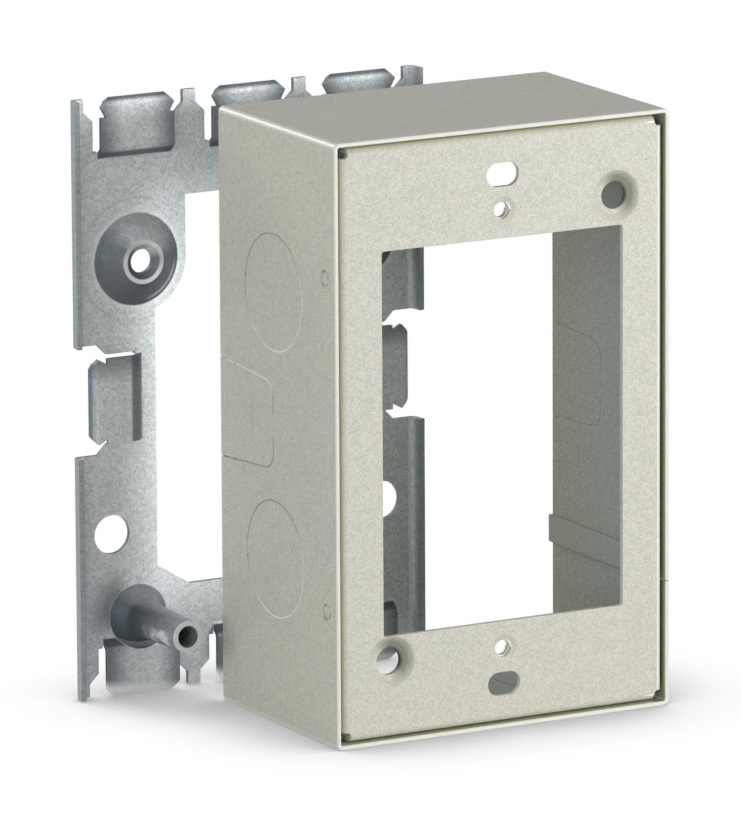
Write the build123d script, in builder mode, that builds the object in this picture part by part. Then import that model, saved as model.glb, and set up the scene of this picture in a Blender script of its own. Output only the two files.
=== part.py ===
from build123d import *
import math
import os

# Electrical box extender: a painted steel cover box and the galvanised base plate that it screws to,
# which stands behind it, apart. Millimetres, +Z up, the front towards -Y.
# The origin is on the floor, under the middle of the cover box.

# Cover box, outside
cover_width = 71.35
cover_height = 114.5
cover_depth = 45.0

# Wall band: one folded strip that laps over itself in the right wall
band_sheet = 0.85
band_corner = 1.2
band_edge_break = 0.2
seam_height = 24.3
seam_gap = 0.3
lap_length = 4.4
lap_gap = 0.05
joggle_run = 0.5
lap_wall_set_back = 2.5

# Sheared lines of the twist-outs and knockouts in the wall band
slit = 0.22
pit_width = 0.8
pit_sides = 6
twist_out_reach = 20.7
twist_out_corner = 3.0
twist_out_lean = 3.7
twist_out_tie = 4.4
twist_out_pit_reach = 5.5
side_twist_out_width = 17.8
end_twist_out_width = 16.9
end_twist_out_margin = 3.65
end_twist_outs = 3
score_reach = 12.4
score_length = 9.7
score_depth = 0.25
knockout_diameter = 22.2
knockout_pitch = 50.8
knockout_back = 21.2
knockout_tie = 3.2

# Spot welds that hold the face in the wall band, seen as shallow dimples
weld_diameter = 3.4
weld_depth = 0.15
weld_pitch = 63.0
weld_from_front = 4.0
weld_taper = 45

# Face: an inset pan with flanges that lean out to the wall band; its opening, slots and device holes
# stand a little below the middle
face_sheet = 1.0
face_recess = 0.3
face_clearance = 0.45
face_bend = 1.5
flange_length = 8.0
flange_lean = 2.5
flange_to_lap = 1.0
relief_reach = 1.8
relief_flat = 1.3
opening_width = 51.3
opening_height = 72.85
opening_corner = 0.5
pattern_drop = 0.3

# Holes of the face
wall_plate_pitch = 96.84
wall_plate_slot_length = 6.9
wall_plate_slot_width = 4.5
device_pitch = 83.34
device_hole = 3.4
device_mouth = 5.4
device_mouth_depth = 0.45
device_collar = 5.3
device_collar_length = 1.15
cover_screw_across = 48.3
cover_screw_pitch = 83.34
cover_screw_hole = 5.2
dish_diameter = 9.8
dish_floor = 7.0
dish_depth = 0.9

# Base plate, which stands behind the cover
base_gap = 14.3
base_shift = -22.48
base_width = 73.6
base_height = 115.6
base_sheet = 1.0
base_bend = 0.9
side_flange_length = 2.5
side_flange_lean = 9.0
ear_inset = 0.3
ear_shoulder = 1.95
ear_tip_height = 2.4
slot_width = 0.9
slot_start = 1.1
low_slot_start = 1.7

# Tongues of the base plate, set forward by a joggle, with a lip rolled back at the tip; those of the
# lower row have no notches
tongue_pitch = 23.7
tongues_in_row = 3
end_tongue_width = 15.4
side_tongue_width = 16.4
side_tongue_inset = 2.4
tongue_length = 11.6
low_tongue_length = 11.1
tongue_step = 2.0
tongue_step_run = 1.5
joggle_bend = 1.5
lip_bend = 1.3
lip_angle = 60
lip_end = 0.1
head_chamfer = 1.8
notch_depth = 1.1
notch_height = 2.0
side_window_gap = 0.45
side_window_mouth = 2.0
side_window_lead = 4.9
side_tongue_drop = 0.25

# Cut-out, holes and drawn forms of the base plate, from its middle
boss_across = 47.0
boss_rise = 26.1
boss_diameter = 17.9
boss_height = 3.3
boss_rim = 8.5
boss_mouth = 6.8
boss_mouth_depth = 0.85
boss_hole = 4.6
boss_collar_wall = 1.2
boss_collar_depth = 1.9
cut_out_top = 37.5
cut_out_bottom = -37.85
cut_out_width = 39.1
cut_out_arc = 10.6
cut_out_low_width = 25.2
cut_out_slope = 4.3
fixing_across = 58.3
fixing_drop = 26.5
fixing_hole = 7.5
post_base = 12.2
post_root = 7.2
post_root_height = 2.9
post_bend = 2.5
post_tip = 6.1
post_length = 20.45
post_bore = 4.2
post_shift = 0.3
post_drop = 1.1

# Places worked out from the sizes above
front_y = -cover_depth / 2
back_y = cover_depth / 2
cover_mid = cover_height / 2
inner_x = cover_width / 2 - band_sheet
end_twist_out_span = cover_width - 2 * end_twist_out_margin - end_twist_out_width
end_twist_out_pitch = end_twist_out_span / (end_twist_outs - 1)
face_front_y = front_y + face_recess
lap_start_y = face_front_y + flange_length + flange_to_lap
base_front_y = back_y + base_gap
base_mid_y = base_front_y + base_sheet / 2
base_mid = base_height / 2
through = cover_depth


def facing(y):
    """The upright plane at the depth y that faces the front, with X across and Z up."""
    return Plane.XZ.offset(-y)


def base_plane(y):
    """The same kind of plane, with its origin in the middle of the base plate."""
    return Plane(origin=(base_shift, y, base_mid), x_dir=(1, 0, 0), z_dir=(0, -1, 0))


def sheared_u(width):
    """The sheared line of one twist-out, its tie and its pits, for a sheet whose back edge is at x = 0."""
    spread = twist_out_reach * math.tan(math.radians(twist_out_lean))
    foot = width / 2 - spread / 2
    with BuildSketch() as line:
        with BuildLine():
            FilletPolyline(
                (twist_out_reach, foot + 2 * spread),
                (-twist_out_reach, foot),
                (-twist_out_reach, -foot),
                (twist_out_reach, -foot - 2 * spread),
                radius=twist_out_corner,
            )
        trace(line_width=slit)
        with Locations((-twist_out_reach, 0)):
            Rectangle(4 * slit, twist_out_tie, mode=Mode.SUBTRACT)
        pit_rise = foot + (twist_out_reach - twist_out_pit_reach) / twist_out_reach * spread
        with Locations((-twist_out_pit_reach, pit_rise), (-twist_out_pit_reach, -pit_rise)):
            RegularPolygon(pit_width / 2, pit_sides)
    return line.sketch


def band_section():
    """Into a sketch: the closed ring of the wall band as it is seen from the front."""
    RectangleRounded(cover_width, cover_height, band_corner)
    RectangleRounded(
        cover_width - 2 * band_sheet,
        cover_height - 2 * band_sheet,
        band_corner - band_sheet,
        mode=Mode.SUBTRACT,
    )


# Wall band
lap_offset = band_sheet + lap_gap
joggle_angle = math.atan2(lap_offset, joggle_run)
joggle_shift = band_sheet * math.tan(joggle_angle / 2)
joggle_foot = seam_height - seam_gap - joggle_run
lap_top = seam_height + lap_length
lap_wall_reach = 3 * band_sheet
knockout_y = back_y - knockout_back
knockout_tie_y = knockout_y + math.sqrt(knockout_diameter**2 - knockout_tie**2) / 2

with BuildPart() as wall_band:
    with BuildSketch(facing(front_y)):
        with Locations((0, cover_mid)):
            band_section()
        with Locations((cover_width / 2, seam_height - seam_gap / 2)):
            Rectangle(3 * band_sheet, seam_gap, mode=Mode.SUBTRACT)
    extrude(amount=front_y - lap_start_y)
    with BuildSketch(facing(lap_start_y)):
        with Locations((0, cover_mid)):
            band_section()
        with Locations((cover_width / 2, (seam_height + joggle_foot) / 2)):
            Rectangle(3 * band_sheet, seam_height - joggle_foot, mode=Mode.SUBTRACT)
        with BuildLine():
            Polyline(
                (cover_width / 2, joggle_foot),
                (cover_width / 2 - lap_offset, joggle_foot + joggle_run),
                (cover_width / 2 - lap_offset, lap_top),
                (inner_x - lap_offset, lap_top),
                (inner_x - lap_offset, joggle_foot + joggle_run - joggle_shift),
                (inner_x, joggle_foot - joggle_shift),
                (inner_x, joggle_foot - band_sheet),
                (cover_width / 2, joggle_foot - band_sheet),
                close=True,
            )
        make_face()
    extrude(amount=lap_start_y - back_y)
    # the wall with the lap ends short of the back
    with BuildSketch(facing(back_y)):
        with Locations((cover_width / 2, cover_mid)):
            Rectangle(2 * lap_wall_reach, cover_height - 2 * (band_sheet + band_corner))
    extrude(amount=lap_wall_set_back, mode=Mode.SUBTRACT)
    # side walls: one twist-out each
    with BuildSketch(Plane.YZ):
        with Locations((back_y, cover_mid)):
            add(sheared_u(side_twist_out_width))
    extrude(amount=cover_width, both=True, mode=Mode.SUBTRACT)
    # top and bottom walls: a row of twist-outs each
    with BuildSketch(Plane(origin=(0, back_y, 0), x_dir=(0, 1, 0), z_dir=(0, 0, 1))):
        with GridLocations(1, end_twist_out_pitch, 1, end_twist_outs):
            add(sheared_u(end_twist_out_width))
    extrude(amount=cover_height, mode=Mode.SUBTRACT)
    # left wall: two round knockouts, each held by a tie with a pit at both its ends
    with BuildSketch(Plane.YZ.offset(-cover_width / 2)):
        with Locations((knockout_y, cover_mid)):
            with GridLocations(1, knockout_pitch, 1, 2):
                Circle((knockout_diameter + slit) / 2)
                Circle((knockout_diameter - slit) / 2, mode=Mode.SUBTRACT)
        with Locations((knockout_y + knockout_diameter / 2, cover_mid)):
            with GridLocations(1, knockout_pitch, 1, 2):
                Rectangle(knockout_tie, knockout_tie, mode=Mode.SUBTRACT)
        with Locations((knockout_tie_y, cover_mid)):
            with GridLocations(1, knockout_pitch, 1, 2):
                with GridLocations(1, knockout_tie, 1, 2):
                    RegularPolygon(pit_width / 2, pit_sides)
    extrude(amount=2 * band_sheet, mode=Mode.SUBTRACT)
    # left wall: a score across the twist-out and the dimples of two spot welds
    with BuildSketch(Plane.YZ.offset(-cover_width / 2)):
        with Locations((back_y - score_reach, cover_mid)):
            Rectangle(slit, score_length)
    extrude(amount=score_depth, mode=Mode.SUBTRACT)
    with BuildSketch(Plane.YZ.offset(-cover_width / 2)):
        with Locations((front_y + weld_from_front, cover_mid)):
            with GridLocations(1, weld_pitch, 1, 2):
                Circle(weld_diameter / 2)
    extrude(amount=weld_depth, taper=weld_taper, mode=Mode.SUBTRACT)
    # the painted front edge is broken
    chamfer(wall_band.faces().sort_by(Axis.Y)[0].outer_wire().edges(), band_edge_break)

wall_band.part.label = "wall_band"


# Face pan
face_width = cover_width - 2 * (band_sheet + face_clearance)
face_height = cover_height - 2 * (band_sheet + face_clearance)
pattern_mid = cover_mid - pattern_drop

with BuildPart() as face_pan:
    with BuildSketch(facing(face_front_y)):
        with Locations((0, cover_mid)):
            Rectangle(face_width, face_height)
    extrude(amount=-flange_length, taper=-flange_lean)
    fillet(face_pan.faces().sort_by(Axis.Y)[0].edges(), face_bend)
    with BuildSketch(facing(face_front_y + face_sheet)):
        with Locations((0, cover_mid)):
            Rectangle(face_width - 2 * face_sheet, face_height - 2 * face_sheet)
    extrude(amount=-flange_length, taper=-flange_lean, mode=Mode.SUBTRACT)
    inside = face_pan.faces().filter_by(Axis.Y).sort_by(Axis.Y)[1]
    fillet(inside.edges(), face_bend - face_sheet)
    # corner reliefs, which part the four flanges and leave a slanted corner on the face
    with BuildSketch(facing(face_front_y)):
        for across in (-1, 1):
            for rise in (-1, 1):
                corner_x = across * face_width / 2
                corner_z = cover_mid + rise * face_height / 2
                with BuildLine():
                    Polyline(
                        (corner_x + across, corner_z + rise),
                        (corner_x - across * relief_reach, corner_z + rise),
                        (corner_x - across * relief_reach, corner_z - rise * relief_flat),
                        (corner_x - across * relief_flat, corner_z - rise * relief_reach),
                        (corner_x + across, corner_z - rise * relief_reach),
                        close=True,
                    )
                make_face()
    extrude(amount=-flange_length, mode=Mode.SUBTRACT)
    # opening for the device and slots for a wall plate's screws
    with BuildSketch(facing(face_front_y)):
        with Locations((0, pattern_mid)):
            RectangleRounded(opening_width, opening_height, opening_corner)
            with GridLocations(1, wall_plate_pitch, 1, 2):
                SlotOverall(wall_plate_slot_length, wall_plate_slot_width)
    extrude(amount=-flange_length, mode=Mode.SUBTRACT)
    # tapped collars for the device screws
    with BuildSketch(facing(face_front_y)):
        with Locations((0, pattern_mid)):
            with GridLocations(1, device_pitch, 1, 2):
                Circle(device_collar / 2)
    extrude(amount=-(face_sheet + device_collar_length))
    with BuildSketch(facing(face_front_y)):
        with Locations((0, pattern_mid)):
            with GridLocations(1, device_pitch, 1, 2):
                Circle(device_hole / 2)
    extrude(amount=-flange_length, mode=Mode.SUBTRACT)
    for rise in (-1, 1):
        mouth = (0, face_front_y, pattern_mid + rise * device_pitch / 2)
        with BuildSketch(Plane(origin=mouth)):
            with BuildLine():
                Polyline(
                    (0, 0),
                    (device_mouth / 2, 0),
                    (device_hole / 2, device_mouth_depth),
                    (0, device_mouth_depth),
                    close=True,
                )
            make_face()
        revolve(axis=Axis(mouth, (0, 1, 0)), mode=Mode.SUBTRACT)
    # dished seats for the cover screws, low on the left and high on the right
    for side in (-1, 1):
        seat = (side * cover_screw_across / 2, face_front_y, cover_mid + side * cover_screw_pitch / 2)
        with BuildSketch(Plane(origin=seat)):
            with BuildLine():
                Polyline(
                    (0, 0),
                    (dish_diameter / 2, face_sheet),
                    (dish_floor / 2, face_sheet + dish_depth),
                    (0, face_sheet + dish_depth),
                    close=True,
                )
            make_face()
        revolve(axis=Axis(seat, (0, 1, 0)))
        with BuildSketch(Plane(origin=seat)):
            with BuildLine():
                Polyline(
                    (0, 0),
                    (dish_diameter / 2, 0),
                    (dish_floor / 2, dish_depth),
                    (cover_screw_hole / 2, dish_depth),
                    (cover_screw_hole / 2, flange_length),
                    (0, flange_length),
                    close=True,
                )
            make_face()
        revolve(axis=Axis(seat, (0, 1, 0)), mode=Mode.SUBTRACT)

face_pan.part.label = "face_pan"


# Base plate
side_root = base_width / 2 - side_tongue_inset - tongue_length
ear_top = base_height / 2 - ear_inset
ear_neck = ear_top - ear_tip_height
end_half = end_tongue_width / 2
end_slot = end_half + slot_width
end_tip = end_slot + ear_shoulder
side_half = side_tongue_width / 2
side_slot = side_half + side_window_gap
side_mouth = side_slot + side_window_mouth
side_lead = base_width / 2 - side_window_lead
side_window_half = [
    (side_root, side_half),
    (side_root + slot_start, side_half),
    (side_root + slot_start, side_slot),
    (side_lead - side_window_mouth, side_slot),
    (side_lead, side_mouth),
    (base_width, side_mouth),
]
side_window = side_window_half + [(x, -z) for x, z in reversed(side_window_half)]
boss_slope = boss_height / ((boss_diameter - boss_rim) / 2)
post_slope = post_root_height / ((post_base - post_root) / 2)


def end_window(length, start):
    """The outline that frees one tongue of a row from the sheet and leaves half an ear on both sides."""
    root = base_height / 2 - length
    half = [
        (end_half, root),
        (end_half, root + start),
        (end_slot, root + start),
        (end_slot, ear_neck - ear_shoulder),
        (end_tip, ear_neck),
        (end_tip, base_height),
    ]
    return half + [(-x, z) for x, z in reversed(half)]


def make_tongue(width, length, notched):
    """One tongue, pointing up from its root, which is at the origin in the middle of the sheet."""
    lean = math.radians(lip_angle)
    lip_leg = lip_bend * math.tan(lean / 2) + lip_end
    lip_rise = lip_leg * math.cos(lean)
    lip_corner = length - lip_rise - base_sheet / 2 * math.sin(lean)
    notch_foot = length - head_chamfer - notch_height
    edge = [(width / 2, -2 * base_sheet)]
    if notched:
        edge += [(width / 2, notch_foot), (width / 2 - notch_depth, notch_foot)]
    edge += [(width / 2, length - head_chamfer), (width / 2 - head_chamfer, length)]
    with BuildPart() as tongue:
        with BuildSketch(Plane.YZ):
            with BuildLine():
                FilletPolyline(
                    (0, -base_sheet),
                    (0, 0),
                    (-tongue_step, tongue_step_run),
                    (-tongue_step, lip_corner),
                    (-tongue_step + lip_leg * math.sin(lean), lip_corner + lip_rise),
                    radius=[joggle_bend, joggle_bend, lip_bend],
                )
            trace(line_width=base_sheet)
        extrude(amount=width / 2, both=True)
        with BuildSketch(Plane.XZ):
            Polygon(*edge, *[(-x, z) for x, z in reversed(edge)], align=None)
        extrude(amount=length, both=True, mode=Mode.INTERSECT)
    return tongue.part


def flank(radius, foot_radius, slope):
    """How deep the inside of a drawn cone lies at a radius, behind the front of the sheet."""
    return base_sheet * math.hypot(1, slope) - slope * (foot_radius - radius)


upper_tongue = make_tongue(end_tongue_width, tongue_length, True)
lower_tongue = make_tongue(end_tongue_width, low_tongue_length, False)
side_tongue = make_tongue(side_tongue_width, tongue_length, True)

with BuildPart() as base_plate:
    # sheet with a flange bent forward on each side
    with BuildSketch(Plane(origin=(base_shift, base_mid_y, ear_inset))):
        flange_y = -(side_flange_length + base_sheet / 2)
        bend_x = (base_width - base_sheet) / 2
        edge_x = bend_x - flange_y * math.tan(math.radians(side_flange_lean))
        with BuildLine():
            FilletPolyline(
                (-edge_x, flange_y), (-bend_x, 0), (bend_x, 0), (edge_x, flange_y), radius=base_bend
            )
        trace(line_width=base_sheet)
    extrude(amount=base_height - 2 * ear_inset)
    # windows that leave the ears, the large cut-out and the holes for wall screws
    with BuildSketch(base_plane(base_mid_y)):
        with GridLocations(tongue_pitch, 1, tongues_in_row, 1):
            Polygon(*end_window(tongue_length, slot_start), align=None)
            Polygon(*end_window(low_tongue_length, low_slot_start), align=None, rotation=180)
        with Locations((0, -side_tongue_drop)):
            Polygon(*side_window, align=None)
            Polygon(*side_window, align=None, rotation=180)
        with GridLocations(fixing_across, 1, 2, 1):
            with Locations((0, -fixing_drop)):
                Circle(fixing_hole / 2)
    extrude(amount=through, both=True, mode=Mode.SUBTRACT)
    with BuildSketch(base_plane(base_mid_y)):
        Polygon(
            (-cut_out_width / 2, cut_out_top),
            (-cut_out_width / 2, cut_out_bottom + cut_out_slope),
            (-cut_out_low_width / 2, cut_out_bottom),
            (cut_out_low_width / 2, cut_out_bottom),
            (cut_out_width / 2, cut_out_bottom + cut_out_slope),
            (cut_out_width / 2, cut_out_top),
            align=None,
        )
        with GridLocations(boss_across, 1, 2, 1):
            with Locations((0, boss_rise)):
                Circle(cut_out_arc, mode=Mode.SUBTRACT)
            with Locations((0, (boss_rise + cut_out_top) / 2)):
                Rectangle(2 * cut_out_arc, cut_out_top - boss_rise, mode=Mode.SUBTRACT)
    extrude(amount=through, both=True, mode=Mode.SUBTRACT)
    # tongues
    row = GridLocations(tongue_pitch, 1, tongues_in_row, 1)
    for place in row.local_locations:
        across = base_shift + place.position.X
        with Locations((across, base_mid_y, base_height - tongue_length)):
            add(upper_tongue)
        with Locations(Location((across, base_mid_y, low_tongue_length), (0, 180, 0))):
            add(lower_tongue)
    for side in (-1, 1):
        root = (base_shift + side * side_root, base_mid_y, base_mid - side_tongue_drop)
        with Locations(Location(root, (0, side * 90, 0))):
            add(side_tongue)
    # conical bosses with a collar inside, whose hole widens to the front
    for side in (-1, 1):
        centre = (base_shift + side * boss_across / 2, base_front_y, base_mid + boss_rise)
        foot = boss_diameter / 2
        with BuildSketch(Plane(origin=centre)):
            Polygon(
                (0, base_sheet / 2),
                (foot, base_sheet / 2),
                (foot, 0),
                (boss_rim / 2, -boss_height),
                (0, -boss_height),
                align=None,
            )
        revolve(axis=Axis(centre, (0, 1, 0)))
        collar = boss_hole / 2 + boss_collar_wall
        back = foot + (base_sheet - flank(foot, foot, boss_slope)) / boss_slope
        with BuildSketch(Plane(origin=centre)):
            Polygon(
                (0, 2 * base_sheet),
                (0, boss_collar_depth - boss_height),
                (collar, boss_collar_depth - boss_height),
                (collar, flank(collar, foot, boss_slope)),
                (back, base_sheet),
                (back, 2 * base_sheet),
                align=None,
            )
            Polygon(
                (0, 2 * base_sheet),
                (boss_hole / 2, 2 * base_sheet),
                (boss_hole / 2, boss_mouth_depth - boss_height),
                (boss_mouth / 2, -boss_height),
                (0, -boss_height),
                align=None,
            )
        revolve(axis=Axis(centre, (0, 1, 0)), mode=Mode.SUBTRACT)
    # drawn posts for the cover screws, low on the left and high on the right
    for side in (-1, 1):
        centre = (
            base_shift + post_shift + side * cover_screw_across / 2,
            base_front_y,
            base_mid - post_drop + side * cover_screw_pitch / 2,
        )
        foot = post_base / 2
        with BuildSketch(Plane(origin=centre)):
            with BuildLine():
                FilletPolyline(
                    (foot, 0),
                    (post_root / 2, -post_root_height),
                    (post_tip / 2, -post_length),
                    radius=post_bend,
                )
                Polyline(
                    (post_tip / 2, -post_length),
                    (0, -post_length),
                    (0, base_sheet / 2),
                    (foot, base_sheet / 2),
                    (foot, 0),
                )
            make_face()
        revolve(axis=Axis(centre, (0, 1, 0)))
        back = foot + (base_sheet - flank(foot, foot, post_slope)) / post_slope
        with BuildSketch(Plane(origin=centre)):
            Polygon(
                (0, -2 * post_length),
                (post_bore / 2, -2 * post_length),
                (post_bore / 2, flank(post_bore / 2, foot, post_slope)),
                (back, base_sheet),
                (back, 2 * base_sheet),
                (0, 2 * base_sheet),
                align=None,
            )
        revolve(axis=Axis(centre, (0, 1, 0)), mode=Mode.SUBTRACT)

base_plate.part.label = "base_plate"


os.makedirs("parts", exist_ok=True)
for piece in (wall_band, face_pan, base_plate):
    export_step(piece.part, f"parts/{piece.part.label}.step")
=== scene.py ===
import math

import bpy
from bpy.props import FloatProperty, FloatVectorProperty, IntProperty, PointerProperty
from mathutils import Matrix, Vector


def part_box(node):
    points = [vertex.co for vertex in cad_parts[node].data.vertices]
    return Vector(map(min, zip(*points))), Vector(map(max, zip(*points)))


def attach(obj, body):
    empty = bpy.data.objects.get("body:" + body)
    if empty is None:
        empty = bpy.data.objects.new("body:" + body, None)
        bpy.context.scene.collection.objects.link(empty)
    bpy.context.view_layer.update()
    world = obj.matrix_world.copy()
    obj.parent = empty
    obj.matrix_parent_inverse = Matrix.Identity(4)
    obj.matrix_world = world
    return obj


bl_info = {
    "name": "Electrical Box Extender",
    "version": (1, 0, 0),
    "blender": (4, 5, 0),
    "location": "3D View > Sidebar > Box Extender",
    "description": "Dresses the packed steel box extender: paint, zinc, threads and a studio stage",
    "category": "Object",
}

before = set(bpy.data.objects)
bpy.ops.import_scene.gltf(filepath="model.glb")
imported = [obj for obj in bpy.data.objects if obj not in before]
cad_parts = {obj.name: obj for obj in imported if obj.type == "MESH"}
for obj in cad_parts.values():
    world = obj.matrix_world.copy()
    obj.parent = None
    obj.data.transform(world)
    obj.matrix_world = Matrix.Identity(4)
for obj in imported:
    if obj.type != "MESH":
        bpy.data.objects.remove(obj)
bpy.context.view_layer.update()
BAND_LOW, BAND_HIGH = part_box("wall_band")
PAN_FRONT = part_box("face_pan")[0].y
BASE_LOW, BASE_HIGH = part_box("base_plate")
COVER_CENTRE = (BAND_LOW + BAND_HIGH) / 2
COVER_HALF = (BAND_HIGH - BAND_LOW) / 2
BASE_CENTRE = (BASE_LOW + BASE_HIGH) / 2

# All lengths are in metres. An aim is the side on which a form is lit or shaded.
# Sheets, as in the part's source
BAND_SHEET = 0.00085
BASE_SHEET = 0.001
SHEET_FRONT = BASE_HIGH.y - BASE_SHEET

# Drawn bosses of the base plate, from its middle
BOSS_PLACE = (0.0235, 0, 0.0261)
BOSS_FOOT = 0.00895
BOSS_RIM = 0.00425
BOSS_MOUTH = 0.0034
BOSS_RISE = 0.003
BOSS_ARC = (0.0076, 0.0082)
BOSS_HALO = 0.0006
BOSS_RING = (0.0116, 0.0119)
BOSS_TOP_AIM = (-0.2, 0, 0.98)
BOSS_ARC_AIM = (-0.75, 0, -0.66)
BOSS_RIM_AIM = (0.5, 0, -0.86)

# Drawn posts of the base plate, from its middle
POST_PLACE = (0.02415, 0, 0.04167)
POST_SHIFT = (0.0003, 0, -0.0011)
POST_FOOT = 0.0061
POST_BORE = 0.0021
POST_LENGTH = 0.02045
POST_STREAK = (0.010, 0.019)
POST_SHADOW_REACH = 0.0065
POST_THREAD_START = 0.0004
POST_TOP_AIM = (0.3, -0.3, 0.9)
POST_STREAK_AIM = (-0.96, -0.1, -0.28)
POST_SHADOW_AIM = (0.93, 0, -0.37)

# Tongues and side flanges of the base plate, from its middle
TONGUE_PITCH = 0.0237
TONGUE_HALF = 0.0077
ROW_ROOT = 0.0462
ROW_TIP = 0.0578
ROW_END = 0.0320
SIDE_ROOT = 0.0228
SIDE_HALF = 0.0082
SIDE_BEND = 0.0256
SIDE_TIP = 0.0344
JOGGLE = (0.0002, 0.0017)
LIP = 0.0011
LOWER_LIP = (0.0030, 0.0006)
FLANGE_FOLD = (0.0350, 0.0355)
FLANGE_SIDE = 0.0359

# Where a point of the base plate counts as raised, and how it faces
RAISED = (-0.00005, 0.0002)
FACES_FRONT = (0.6, 0.3)
FACES_SIDE = (0.15, 0.35)

# How strongly each painted shade, painted highlight and edge colour covers the zinc or clears it
COVERS = {
    "boss halo": 0.35, "boss ring": 0.20, "boss top": 0.7, "boss arc": 0.75,
    "post shadow": 0.65, "post top": 0.40, "post shaft": 0.30, "post tip": 0.7,
    "post bore": 0.5, "tongue side": 0.8, "joggle": 0.8, "side lip": 0.3,
    "flange": 0.58, "flange fold": 0.7, "sheared edge": 0.8,
}

# Sheared lines of the cover's walls, from their back edge
TWIST_REACH = 0.0207
TWIST_CORNER = 0.003
TWIST_TIE = 0.0044
TWIST_PIT = 0.0055
TWIST_SPREAD = 0.00134
SIDE_TWIST_WIDTH = 0.0178
SIDE_TWIST_TOP = (0.0055, 0.0075)
SIDE_SET_BACK = 0.0025
END_TWIST_WIDTH = 0.0169
END_TWIST_PITCH = 0.02358
KNOCKOUT_RADIUS = 0.0111
KNOCKOUT_PITCH = 0.0508
KNOCKOUT_BACK = 0.0212
KNOCKOUT_TIE = 0.0032
KNOCKOUT_FADE = 0.006
KNOCKOUT_LEAN = 0.6
PIT_HALF = 0.00045
LINE_HALF = 0.00015
LINE_SOFT = 0.0001
LINE_LIGHT = 0.85
LINE_DARK = 0.33
END_LINE = 0.6

# The outer faces of the walls, as depths under the outside of the cover
FACE_START = 0.0004
FACE_END = 0.0001

# Folds, rim and groove of the cover, with their painted highlights and painted shade
FOLD = (0.0013, 0.0006)
RIM = (0.00025, 0.00015)
BAND_GROOVE = (0.0025, 0.0012)
PAN_GROOVE = (0.0002, 0.0009)
PAN_BORDER = (0.0045, 0.003)
RIGHT_GROOVE = (0.0320, 0.0335)
RIGHT_GROOVE_SHADE = 0.5
PAN_SHINE = (0.00003, 0.00012)
PAN_SHINE_SIDE = (0.030, 0.032)
INSIDE_FADE = (-0.012, 0.02)

# Spot welds of the side walls, ringed with painted shade
WELD_RISE = 0.0315
WELD_BACK = 0.004
WELD_RING = (0.0011, 0.0016)
WELD_PATCHES = 900.0

# Dished seats of the face, from its middle
SEAT_PLACE = (0.02415, 0, 0.04167)
SEAT_SHADE = (0.0022, 0.0058)
SEAT_SHADE_AIM = (0.86, 0, 0.5)

# Tapped holes of the face
DEVICE_PITCH = 0.08334
DEVICE_DROP = 0.0003
DEVICE_HOLE = 0.0017
DEVICE_COLLAR = 0.00215

# Texture of the paint and of the zinc
MOTTLE_SCALE = 0.16
SPECK_SHARE = 0.85
MOTTLE_SHARE = 0.15
EDGE_HIGHLIGHT_SHARE = 0.35
SPECK_ROUGHNESS = 0.08
FOLD_SMOOTHNESS = 0.24
INSIDE_SPECKS = 2600.0
INSIDE_SPECK_SHARE = 0.22
ZINC_GRAIN = 0.0004
ZINC_HEIGHT = 0.00002
ZINC_METAL = 0.45
ZINC_SPREAD = 0.06

# Faces of the grown pieces
BEAD_SIDES = 10
CORNER_STEPS = 8
KNOCKOUT_STEPS = 48
THREAD_SIDES = 5
THREAD_STEPS = 24

# Stage: the camera, each light's name, direction, distance and size, and the floor
AIM_RISE = 0.057
CLIP = (0.05, 20.0)
LIGHTS = (
    ("key_light", (0.58, -0.81, 0.04), 0.85, 0.4),
    ("fill_light", (-0.9, -0.43, 0.05), 1.2, 1.2),
    ("back_light", (-0.3, 0.84, 0.46), 1.3, 0.4),
)
FLOOR_REACH = 6.0
FLOOR_GREY = (0.75, 0.75, 0.75, 1)
FLOOR_OPEN = (0.34, 0.97)
FLOOR_SHADOW = 0.42


# Settings


def colour_setting(name, description, value):
    """A colour that a user can change."""
    return FloatVectorProperty(
        name=name, description=description, subtype="COLOR", size=3, min=0, max=1, default=value
    )


def length_setting(name, description, value, least=0.0):
    """A length that a user can change."""
    return FloatProperty(name=name, description=description, unit="LENGTH", min=least, default=value)


def power_setting(name, description, value):
    """The power of a light that a user can change."""
    return FloatProperty(name=name, description=description, unit="POWER", default=value)


def angle_setting(name, description, degrees):
    """An angle that a user can change."""
    return FloatProperty(name=name, description=description, subtype="ANGLE", default=math.radians(degrees))


class PaintSettings(bpy.types.PropertyGroup):
    colour: colour_setting("Paint", "Main colour of the baked paint", (0.72, 0.714, 0.618))
    speck_colour: colour_setting("Specks", "Colour of the fine dark specks in the paint", (0.535, 0.525, 0.45))
    # Painted highlight on the edges and folds of the paint and on the band's front rim
    rim_highlight_tint: colour_setting("Rim", "Colour of the thin paint on sheared edges and folds", (0.84, 0.84, 0.77))
    # Painted cool shade on the inner faces towards the front
    front_inside_shade_tint: colour_setting("Inside", "Tint of the thin paint inside the box", (0.66, 0.75, 0.81))
    # Painted shade on the inner faces towards the back
    back_inside_shade_tint: colour_setting(
        "Inside, back", "Tint of the paint inside the box towards its back", (0.80, 0.83, 0.79)
    )
    # Painted highlight on the sheared lines and at the start of the face's right fold
    glint_colour: colour_setting("Glint", "Colour of the raised paint beside the sheared lines", (1.0, 1.0, 0.94))
    # Painted shade in the sheared lines, the dishes, the right groove and the weld rings, and the dark specks
    # inside the box
    shade_and_speck_colour: colour_setting(
        "Shade", "Colour of the paint that gathers in lines and dishes", (0.07, 0.075, 0.045)
    )
    # Painted shade in the groove round the face
    groove_shade_tint: colour_setting("Groove", "Colour of the paint in the groove round the face", (0.60, 0.60, 0.41))
    grain_size: length_setting("Grain size", "Width of one bump of the textured paint", 0.00032, 0.0001)
    grain_height: length_setting("Grain height", "Height of the paint's texture", 0.00002)
    roughness: FloatProperty(name="Roughness", description="Roughness of the paint", min=0, max=1, default=0.48)
    edge_radius: length_setting("Edge radius", "How far the paint rounds over an edge", 0.0002)
    bead_radius: length_setting("Bead radius", "Radius of the paint that fills a sheared line", 0.00036, 0.00005)


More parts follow.
